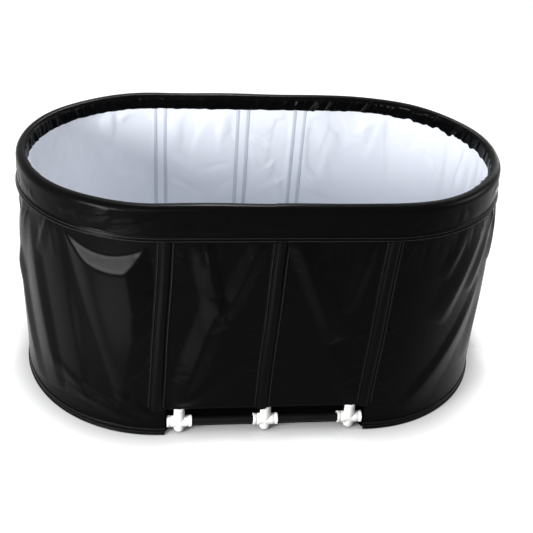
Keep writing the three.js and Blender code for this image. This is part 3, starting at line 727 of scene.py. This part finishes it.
CAP_IN, CAP_FLOOR, CAP_OUT, CAP_BORE, CAP = 0.0069, 0.0207, 0.0237, 0.0145, 0.0175
cap_profile = [(CAP_FLOOR, 0), (CAP_FLOOR, CAP_BORE), (CAP_IN, CAP_BORE), (CAP_IN, CAP - 0.0004),
               (CAP_IN + 0.0004, CAP), (CAP_IN + 0.0022, CAP), (CAP_IN + 0.0026, CAP - 0.0004),
               (CAP_OUT - 0.0016, CAP - 0.0004), (CAP_OUT - 0.0005, CAP - 0.0010), (CAP_OUT, CAP - 0.0024),
               (CAP_OUT, CAP - 0.0042), (CAP_OUT - 0.0006, CAP - 0.0050), (CAP_OUT - 0.0008, 0.004),
               (CAP_OUT - 0.0004, 0.002), (CAP_OUT - 0.0004, 0)]
cap = add_piece("drain_screw_cap", *turned(cap_profile, Matrix.Identity(4), 64), black_plastic)
grips.shape(cap, Count=12, Ring=CAP - 0.0004, Width=0.0018, Length=0.0068, Middle=(CAP_IN + CAP_OUT) / 2 + 0.0012,
            Material=black_plastic)
cap.data.transform(drain_place)
cap.data.shade_smooth()
cap.data.set_sharp_from_angle(angle=math.radians(35))
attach(cap, "drain_cap")
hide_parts("drain_cap")


# Studio: a plain pale floor and room, which are dim to all but the camera and reflections.
# Round the tub's foot the floor's glow is darkened by ambient occlusion: a painted contact shadow.
# A soft key stands on the left, others behind, in front and beside the tub, and low ones light the folds.
# The camera stands where the photograph was taken from.
room = bpy.data.worlds.new("room")
bpy.context.scene.world = room
room_finish = Finish("room", room, Color=(0.9, 0.95, 1.0), Strength=0.22)
floor_finish = Finish("floor", Base_Color=(0.05, 0.05, 0.05), Roughness=1.0, Specular_IOR_Level=0.0)


def show(finish, shown):
    """Shows one surface to the camera and in reflections, and lets the other light the tub."""
    kinds = ("Is Camera Ray", "Is Glossy Ray", "Is Transmission Ray")
    rays = [finish.node("ShaderNodeLightPath", {}, {}, kind) for kind in kinds]
    dim = Value(finish, finish.shader.outputs[0])
    surface = finish.node("ShaderNodeMixShader", {}, {0: sum(rays), 1: dim, 2: shown})
    finish.feed(finish.output.inputs["Surface"], surface)


# Painted shadow: the floor's glow falls with ambient occlusion near the tub, so a contact shadow is painted round its
# foot
open_sky = floor_finish.node("ShaderNodeAmbientOcclusion", {"samples": 8}, {"Distance": 0.09}, "AO")
painted_contact_shadow = floor_finish.blend(open_sky * open_sky, (0.02, 0.02, 0.02), (1, 1, 1))
pale = {"Base Color": (0.3, 0.3, 0.3), "Roughness": 1.0, "Specular IOR Level": 0.0,
        "Emission Color": painted_contact_shadow, "Emission Strength": 0.9}
show(floor_finish, floor_finish.node("ShaderNodeBsdfPrincipled", {}, pale))
show(room_finish, room_finish.node("ShaderNodeBackground", {}, {"Color": (1, 1, 1), "Strength": 1.0}))
GROUND_HALF, GROUND_LEVEL = 30, -0.0005
corners = [(x * GROUND_HALF, y * GROUND_HALF, GROUND_LEVEL) for x, y in ((-1, -1), (1, -1), (1, 1), (-1, 1))]
floor = add_piece("floor", corners, [(0, 1, 2, 3)], floor_finish.material)


def lamp(name, place, aim, size, power):
    data = bpy.data.lights.new(name, "AREA")
    data.shape, data.size, data.energy = "DISK", size, power
    light = bpy.data.objects.new(name, data)
    bpy.context.scene.collection.objects.link(light)
    light.location = place
    light.visible_camera = False
    light.rotation_euler = (Vector(aim) - Vector(place)).to_track_quat("-Z", "Y").to_euler()


lamp("key", (-1.68, -1.58, 1.04), (-0.2, -0.1, 0.35), 0.80, 84)
lamp("low_left", (-0.72, -0.88, 0.02), (-0.72, -0.88, 1.0), 0.64, 3.9)
lamp("low_right", (1.25, 0.05, 0.02), (1.25, 0.05, 1.0), 0.65, 0.1)
lamp("back", (0.1, 2.3, 2.9), (0, 0, 0.3), 0.54, 64)
lamp("front", (-1.0, -2.4, 2.8), (0, 0, 0.2), 0.95, 24)
lamp("side", (2.6, -0.1, 1.6), (0.2, 0, 0.4), 1.2, 32)
lamp("rear", (1.6, 1.8, 0.80), (0.2, 0.1, 0.30), 0.9, 14)
lamp("low_rear", (0.85, 0.85, 0.02), (0.85, 0.85, 1.0), 0.64, 4.4)

bpy.context.scene.view_settings.view_transform = "Standard"

CAMERA_PLACE, FOCAL_PIXELS, PHOTO_PIXELS = (-0.2417, -1.8981, 1.4524), 851.4, 533
yaw, pitch, roll = (math.radians(angle) for angle in (8.113, 32.283, -3.973))
ahead = Vector((math.sin(yaw) * math.cos(pitch), math.cos(yaw) * math.cos(pitch), -math.sin(pitch)))
level = Vector((math.cos(yaw), -math.sin(yaw), 0))
down = ahead.cross(level)
right = math.cos(roll) * level + math.sin(roll) * down
up = math.sin(roll) * level - math.cos(roll) * down
view = bpy.data.cameras.new("camera")
view.sensor_width = 36
view.lens = FOCAL_PIXELS / PHOTO_PIXELS * view.sensor_width
camera = bpy.data.objects.new("camera", view)
bpy.context.scene.collection.objects.link(camera)
camera.matrix_world = Matrix.Translation(CAMERA_PLACE) @ Matrix((right, up, -ahead)).transposed().to_4x4()
bpy.context.scene.camera = camera
